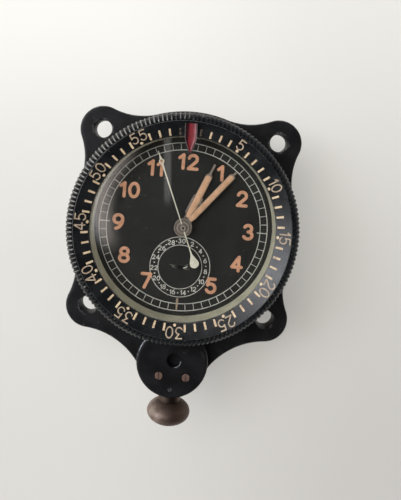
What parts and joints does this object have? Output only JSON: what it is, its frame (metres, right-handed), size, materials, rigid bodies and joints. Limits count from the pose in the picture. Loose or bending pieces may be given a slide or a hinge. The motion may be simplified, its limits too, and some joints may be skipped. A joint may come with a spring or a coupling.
{
  "type": "aircraft clock",
  "caption": "Panel clock with a four-lug flange, turning coin-edge bezel with a red marker, sweep chronograph hand, small counter dial, and a push-and-turn knob on its chin.",
  "frame": {"origin": "on the dial axis, in the plane of the flange's rear face", "axes": "+Z out of the dial, +Y towards twelve o'clock, +X towards three o'clock"},
  "size_m": [0.0588, 0.0805, 0.0341],
  "materials": {
    "case_black": "satin black paint on a casting",
    "bezel_black": "gloss black, worn at the edges",
    "marker_red": "deep red enamel",
    "crystal": "clear domed acrylic",
    "seal": "black seal",
    "wall_olive": "olive grey ring",
    "dial_black": "matt black dial",
    "brass": "brushed brass",
    "steel": "brushed steel",
    "blue_steel": "blued spring steel",
    "copper_dull": "dull copper-coloured screw",
    "knob_bronze": "worn bronze-brown metal",
    "collar_dark": "dark oxidised collar",
    "nickel": "tarnished nickel",
    "lume_tan": "aged luminous paint",
    "bone_paint": "off-white paint"
  },
  "bodies": {
    "case": {"case_body": "case_black", "case_back": "case_black", "back_gasket": "seal", "back_screws": "steel", "stem_housing": "case_black", "housing_screws": "copper_dull", "sleeve_set_screw": "steel", "crystal": "crystal", "crystal_seal": "seal", "wall_ring": "wall_olive", "dial": "dial_black", "dial_spacer": "brass", "mainplate": "brass", "plate_screws": "steel", "train_bridge": "brass", "bridge_pillars": "brass", "movement_screws": "steel", "balance_cock": "brass", "chrono_bridge": "brass", "chrono_pillars": "brass", "winding_screws": "steel", "click_spring": "steel", "hairspring": "blue_steel", "knob_spring": "steel", "bezel_spring_ring": "steel"},
    "bezel": {"bezel": "bezel_black", "red_marker": "marker_red"},
    "push_sleeve": {"push_sleeve": "collar_dark"},
    "knob": {"knob": "knob_bronze", "winding_stem": "steel"},
    "winding_pinion": {"winding_pinion": "steel"},
    "crown_wheel": {"crown_wheel": "steel"},
    "winding_idler": {"winding_idler": "steel"},
    "ratchet": {"ratchet_wheel": "steel", "barrel_arbor": "steel"},
    "click": {"click": "steel"},
    "barrel": {"barrel_drum": "brass", "barrel_cover": "brass", "mainspring": "blue_steel"},
    "center_wheel": {"center_wheel": "brass"},
    "third_wheel": {"third_wheel": "brass"},
    "fourth_wheel": {"fourth_wheel": "brass"},
    "escape_wheel": {"escape_wheel": "steel"},
    "pallet_fork": {"pallet_fork": "steel"},
    "balance": {"balance_wheel": "brass"},
    "minute_hand": {"cannon_pinion": "steel", "minute_hand": "nickel", "minute_lume": "lume_tan"},
    "minute_wheel": {"minute_wheel": "brass"},
    "hour_hand": {"hour_wheel": "brass", "hour_hand": "nickel", "hour_lume": "lume_tan"},
    "sweep_hand": {"chrono_runner": "steel", "chrono_hand": "bone_paint"},
    "counter_idler": {"counter_idler": "steel"},
    "counter": {"counter_wheel": "steel", "counter_hand": "steel"},
    "reset_hammer": {"reset_hammer": "steel"}
  },
  "joints": [
    {"name": "bezel_turn", "type": "hinge", "parent": "case", "child": "bezel", "pos_m": [0, 0, 0.01], "axis": [0, 0, -1], "continuous": true},
    {"name": "knob_push", "type": "slide", "parent": "case", "child": "push_sleeve", "axis": [0, 1, 0], "range_m": [-0.0015, 0.001], "stiffness_N_per_m": 1500, "deforming": ["knob_spring"]},
    {"name": "knob_turn", "type": "hinge", "parent": "push_sleeve", "child": "knob", "pos_m": [0, -0.045, 0.0056], "axis": [0, 1, 0], "continuous": true},
    {"name": "winding_pinion_turn", "type": "hinge", "parent": "case", "child": "winding_pinion", "pos_m": [0, -0.015, 0.0056], "axis": [0, 1, 0], "continuous": true},
    {"name": "crown_wheel_turn", "type": "hinge", "parent": "case", "child": "crown_wheel", "pos_m": [0, -0.019, 0.003], "axis": [0, 0, 1], "continuous": true},
    {"name": "winding_idler_turn", "type": "hinge", "parent": "case", "child": "winding_idler", "pos_m": [-0.00731, -0.01487, 0.003], "axis": [0, 0, 1], "continuous": true},
    {"name": "ratchet_turn", "type": "hinge", "parent": "case", "child": "ratchet", "pos_m": [-0.01161, -0.0049, 0.003], "axis": [0, 0, 1], "continuous": true},
    {"name": "click_lift", "type": "hinge", "parent": "case", "child": "click", "pos_m": [-0.01503, 0.00449, 0.003], "axis": [0, 0, 1], "range_deg": [0, 12], "stiffness_Nm_per_rad": 0.0002, "deforming": ["click_spring"]},
    {"name": "fourth_wheel_turn", "type": "hinge", "parent": "case", "child": "fourth_wheel", "pos_m": [0.01208, 0.00838, 0.0018], "axis": [0, 0, -1], "continuous": true},
    {"name": "third_wheel_turn", "type": "hinge", "parent": "case", "child": "third_wheel", "pos_m": [0.00445, 0.00772, 0], "axis": [0, 0, -1], "continuous": true},
    {"name": "center_wheel_turn", "type": "hinge", "parent": "case", "child": "center_wheel", "pos_m": [0, 0, -0.0024], "axis": [0, 0, -1], "continuous": true},
    {"name": "barrel_turn", "type": "hinge", "parent": "case", "child": "barrel", "pos_m": [-0.01161, -0.0049, 0], "axis": [0, 0, -1], "continuous": true},
    {"name": "escape_wheel_turn", "type": "hinge", "parent": "case", "child": "escape_wheel", "pos_m": [0.01378, 0.00201, 0.0005], "axis": [0, 0, -1], "continuous": true},
    {"name": "pallet_rock", "type": "hinge", "parent": "case", "child": "pallet_fork", "pos_m": [0.01363, -0.00239, 0.0005], "axis": [0, 0, -1], "range_deg": [-5, 5]},
    {"name": "balance_swing", "type": "hinge", "parent": "case", "child": "balance", "pos_m": [0.01281, -0.0102, -0.0016], "axis": [0, 0, -1], "range_deg": [-220, 220], "stiffness_Nm_per_rad": 0.0000044, "deforming": ["hairspring"]},
    {"name": "minute_hand_turn", "type": "hinge", "parent": "case", "child": "minute_hand", "pos_m": [0, 0, 0.0117], "axis": [0, 0, -1], "continuous": true},
    {"name": "minute_wheel_turn", "type": "hinge", "parent": "case", "child": "minute_wheel", "pos_m": [-0.00632, -0.0023, 0.008], "axis": [0, 0, -1], "continuous": true},
    {"name": "hour_hand_turn", "type": "hinge", "parent": "case", "child": "hour_hand", "pos_m": [0, 0, 0.011], "axis": [0, 0, -1], "continuous": true},
    {"name": "sweep_hand_turn", "type": "hinge", "parent": "case", "child": "sweep_hand", "pos_m": [0, 0, 0.0126], "axis": [0, 0, -1], "continuous": true},
    {"name": "counter_idler_turn", "type": "hinge", "parent": "case", "child": "counter_idler", "pos_m": [0.00499, -0.00519, -0.007], "axis": [0, 0, -1], "continuous": true},
    {"name": "counter_turn", "type": "hinge", "parent": "case", "child": "counter", "pos_m": [0, -0.01, -0.008], "axis": [0, 0, -1], "continuous": true},
    {"name": "hammer_swing", "type": "hinge", "parent": "case", "child": "reset_hammer", "pos_m": [-0.0065, -0.006, -0.01], "axis": [0, 0, -1], "range_deg": [-5, 5]}
  ],
  "couplings": [
    {"joint": "winding_pinion_turn", "follows": "knob_turn", "ratio": 1},
    {"joint": "crown_wheel_turn", "follows": "knob_turn", "ratio": 0.5},
    {"joint": "winding_idler_turn", "follows": "knob_turn", "ratio": -0.7},
    {"joint": "ratchet_turn", "follows": "knob_turn", "ratio": 0.33333},
    {"joint": "third_wheel_turn", "follows": "fourth_wheel_turn", "ratio": -0.13333},
    {"joint": "center_wheel_turn", "follows": "fourth_wheel_turn", "ratio": 0.016667},
    {"joint": "barrel_turn", "follows": "fourth_wheel_turn", "ratio": -0.0027778},
    {"joint": "escape_wheel_turn", "follows": "fourth_wheel_turn", "ratio": -10},
    {"joint": "minute_wheel_turn", "follows": "minute_hand_turn", "ratio": -0.33333},
    {"joint": "hour_hand_turn", "follows": "minute_hand_turn", "ratio": 0.083333},
    {"joint": "counter_idler_turn", "follows": "sweep_hand_turn", "ratio": -0.2},
    {"joint": "counter_turn", "follows": "sweep_hand_turn", "ratio": 0.033333}
  ]
}
